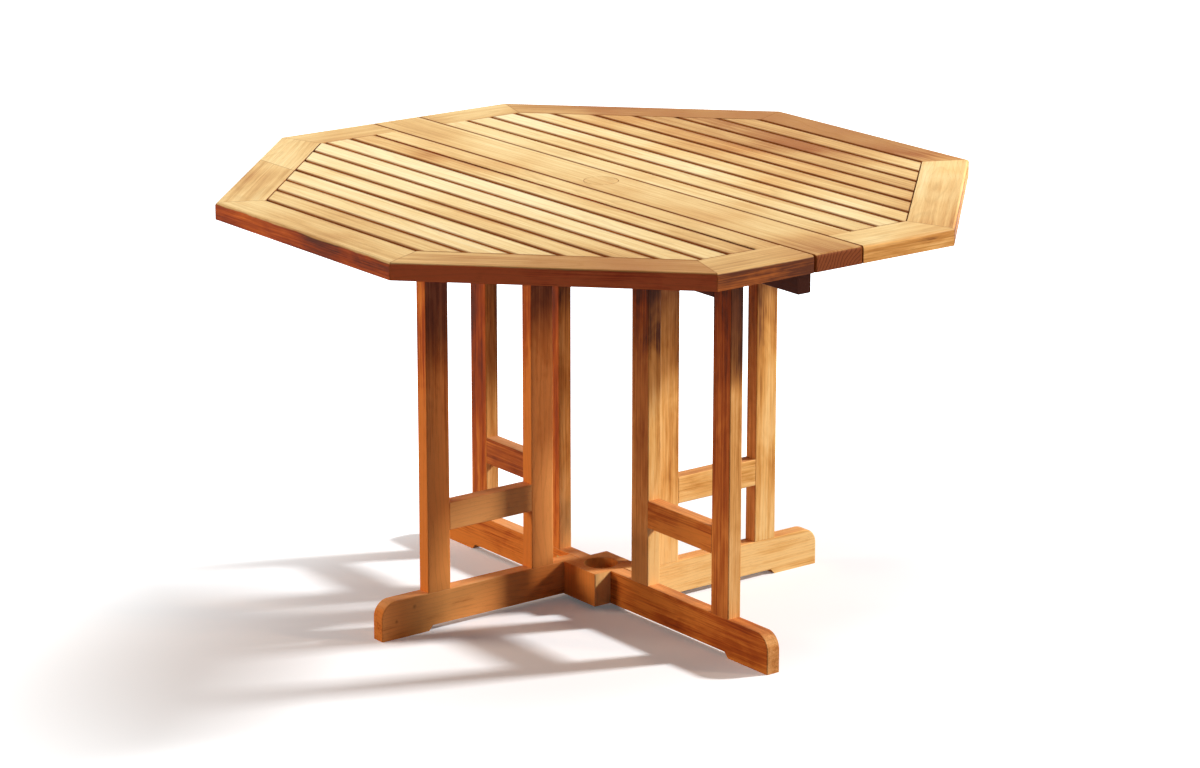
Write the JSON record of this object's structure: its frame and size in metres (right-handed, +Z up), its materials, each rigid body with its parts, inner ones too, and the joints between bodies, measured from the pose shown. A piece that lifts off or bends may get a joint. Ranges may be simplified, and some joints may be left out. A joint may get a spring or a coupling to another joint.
{
  "type": "umbrella table",
  "caption": "Octagonal slatted wooden patio table with a hole for an umbrella pole, drop leaves on a narrow centre board and swing-in gate legs.",
  "frame": {"origin": "on the floor under the middle of the table top", "axes": "+Z up; +X along the slats; front is -Y"},
  "size_m": [1.2, 1.18, 0.728],
  "materials": {
    "teak_top": "oiled",
    "teak_frame": "oiled",
    "brass": "satin"
  },
  "bodies": {
    "frame": {"bearer_left": "teak_frame", "bearer_right": "teak_frame", "board_hinge_plates": "brass", "centre_board": "teak_top", "foot_left": "teak_frame", "foot_right": "teak_frame", "frame_hinge_plates": "brass", "frame_screws": "brass", "hinge_pins": "brass", "hub_lower": "teak_frame", "hub_upper": "teak_frame", "inner_post_left": "teak_frame", "inner_post_right": "teak_frame", "mid_rail_left": "teak_frame", "mid_rail_right": "teak_frame", "outer_post_left": "teak_frame", "outer_post_right": "teak_frame", "top_rail_left": "teak_frame", "top_rail_right": "teak_frame"},
    "leaf_front": {"leaf_front_battens": "teak_top", "leaf_front_corner_rail_left": "teak_top", "leaf_front_corner_rail_left_end": "teak_top", "leaf_front_corner_rail_right": "teak_top", "leaf_front_hinge_plates": "brass", "leaf_front_inner_rail": "teak_top", "leaf_front_outer_rail": "teak_top", "leaf_front_screws": "brass", "leaf_front_side_rail_left": "teak_top", "leaf_front_side_rail_right": "teak_top", "leaf_front_slats_long": "teak_top", "leaf_front_slats_short": "teak_top"},
    "leaf_rear": {"leaf_rear_battens": "teak_top", "leaf_rear_corner_rail_left": "teak_top", "leaf_rear_corner_rail_right": "teak_top", "leaf_rear_hinge_plates": "brass", "leaf_rear_inner_rail": "teak_top", "leaf_rear_outer_rail": "teak_top", "leaf_rear_screws": "brass", "leaf_rear_side_rail_left": "teak_top", "leaf_rear_side_rail_right": "teak_top", "leaf_rear_slats_long": "teak_top", "leaf_rear_slats_short": "teak_top"},
    "gate_front": {"gate_front_foot": "teak_frame", "gate_front_hinge_plates": "brass", "gate_front_inner_post": "teak_frame", "gate_front_mid_rail": "teak_frame", "gate_front_outer_post": "teak_frame", "gate_front_screws": "brass", "gate_front_top_rail": "teak_frame"},
    "gate_rear": {"gate_rear_foot": "teak_frame", "gate_rear_hinge_plates": "brass", "gate_rear_inner_post": "teak_frame", "gate_rear_mid_rail": "teak_frame", "gate_rear_outer_post": "teak_frame", "gate_rear_screws": "brass", "gate_rear_top_rail": "teak_frame"},
    "plug": {"umbrella_plug": "teak_top"}
  },
  "joints": [
    {"name": "leaf_front_lift", "type": "hinge", "parent": "frame", "child": "leaf_front", "pos_m": [0, -0.0485, 0.6957], "axis": [-1, 0, 0], "range_deg": [0, 3]},
    {"name": "leaf_rear_lift", "type": "hinge", "parent": "frame", "child": "leaf_rear", "pos_m": [0, 0.0485, 0.6957], "axis": [1, 0, 0], "range_deg": [0, 3]},
    {"name": "gate_front_swing", "type": "hinge", "parent": "frame", "child": "gate_front", "pos_m": [-0.0748, -0.0173, 0.35], "axis": [0, 0, -1], "range_deg": [0, 90]},
    {"name": "gate_rear_swing", "type": "hinge", "parent": "frame", "child": "gate_rear", "pos_m": [0.0748, 0.0173, 0.35], "axis": [0, 0, -1], "range_deg": [0, 90]},
    {"name": "plug_lift_out", "type": "slide", "parent": "frame", "child": "plug", "axis": [0, 0, 1], "range_m": [0, 0.06]}
  ]
}
